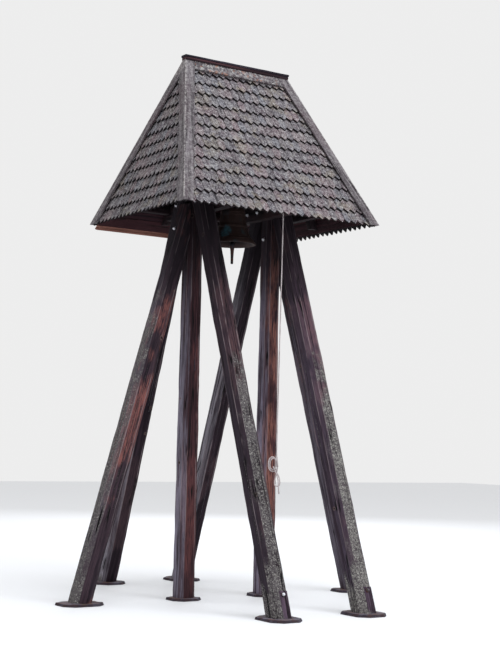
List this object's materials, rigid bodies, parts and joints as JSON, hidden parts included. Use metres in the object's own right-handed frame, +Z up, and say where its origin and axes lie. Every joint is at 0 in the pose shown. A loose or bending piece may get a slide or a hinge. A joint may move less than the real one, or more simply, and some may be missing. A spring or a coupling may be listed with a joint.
{
  "type": "bell tower",
  "caption": "Free-standing timber bell tower: raking hewn legs on flat stones carry a steep shingled hood, with a swinging bell, its clapper and a rope beneath.",
  "frame": {"origin": "on the ground under the middle of the tower", "axes": "+Z up, X along the ridge and the bell's axle, Y across the ridge with the rope on the -Y side"},
  "size_m": [4.2764, 4.403, 6.422],
  "materials": {
    "hewn_legs": "hewn, tarred and weathered grey, with lichen on the upper sides",
    "inner_timber": "sawn and tarred dark brown",
    "roof_boarding": "sawn boards, dark red brown",
    "shingles": "weathered grey brown with lichen",
    "cover_boards": "weathered grey boards with lichen",
    "ridge_cap": "tarred nearly black",
    "black_iron": "forged and cast, blackened",
    "bell_bronze": "dark bronze with green patina",
    "foot_stone": "flat undressed stone",
    "rope": "three-strand off-white rope"
  },
  "bodies": {
    "frame": {"back_boarding": "roof_boarding", "back_left_hip_boards": "cover_boards", "back_plate": "inner_timber", "back_rafters": "inner_timber", "back_right_hip_boards": "cover_boards", "back_shingles": "shingles", "bearings": "black_iron", "end_rafters": "inner_timber", "front_boarding": "roof_boarding", "front_left_hip_boards": "cover_boards", "front_plate": "inner_timber", "front_rafters": "inner_timber", "front_right_hip_boards": "cover_boards", "front_shingles": "shingles", "hip_rafters": "inner_timber", "left_back_strut": "hewn_legs", "left_boarding": "roof_boarding", "left_cross_beam": "inner_timber", "left_foot_stones": "foot_stone", "left_front_strut": "hewn_legs", "left_outer_strut": "hewn_legs", "left_plate": "inner_timber", "left_post": "hewn_legs", "left_shingles": "shingles", "ridge_beam": "inner_timber", "ridge_boards": "cover_boards", "ridge_cap": "ridge_cap", "right_back_strut": "hewn_legs", "right_boarding": "roof_boarding", "right_cross_beam": "inner_timber", "right_foot_stones": "foot_stone", "right_front_strut": "hewn_legs", "right_outer_strut": "hewn_legs", "right_plate": "inner_timber", "right_post": "hewn_legs", "right_shingles": "shingles"},
    "bell": {"headstock": "inner_timber", "headstock_irons": "black_iron", "bell": "bell_bronze", "clapper_staple": "black_iron", "rope_lever": "inner_timber", "lever_eye": "black_iron"},
    "clapper": {"clapper": "black_iron"},
    "rope": {"bell_rope": "rope", "rope_bundle": "rope"}
  },
  "joints": [
    {"name": "bell_swing", "type": "hinge", "parent": "frame", "child": "bell", "pos_m": [0, 0, 4.812], "axis": [1, 0, 0], "range_deg": [-45, 45]},
    {"name": "clapper_swing", "type": "hinge", "parent": "bell", "child": "clapper", "pos_m": [0, 0, 4.594], "axis": [1, 0, 0], "range_deg": [-27, 27]},
    {"name": "rope_hang", "type": "hinge", "parent": "bell", "child": "rope", "pos_m": [0.295, -0.65, 4.737], "axis": [1, 0, 0], "range_deg": [-45, 45]}
  ],
  "couplings": [
    {"joint": "rope_hang", "follows": "bell_swing", "ratio": -1}
  ]
}
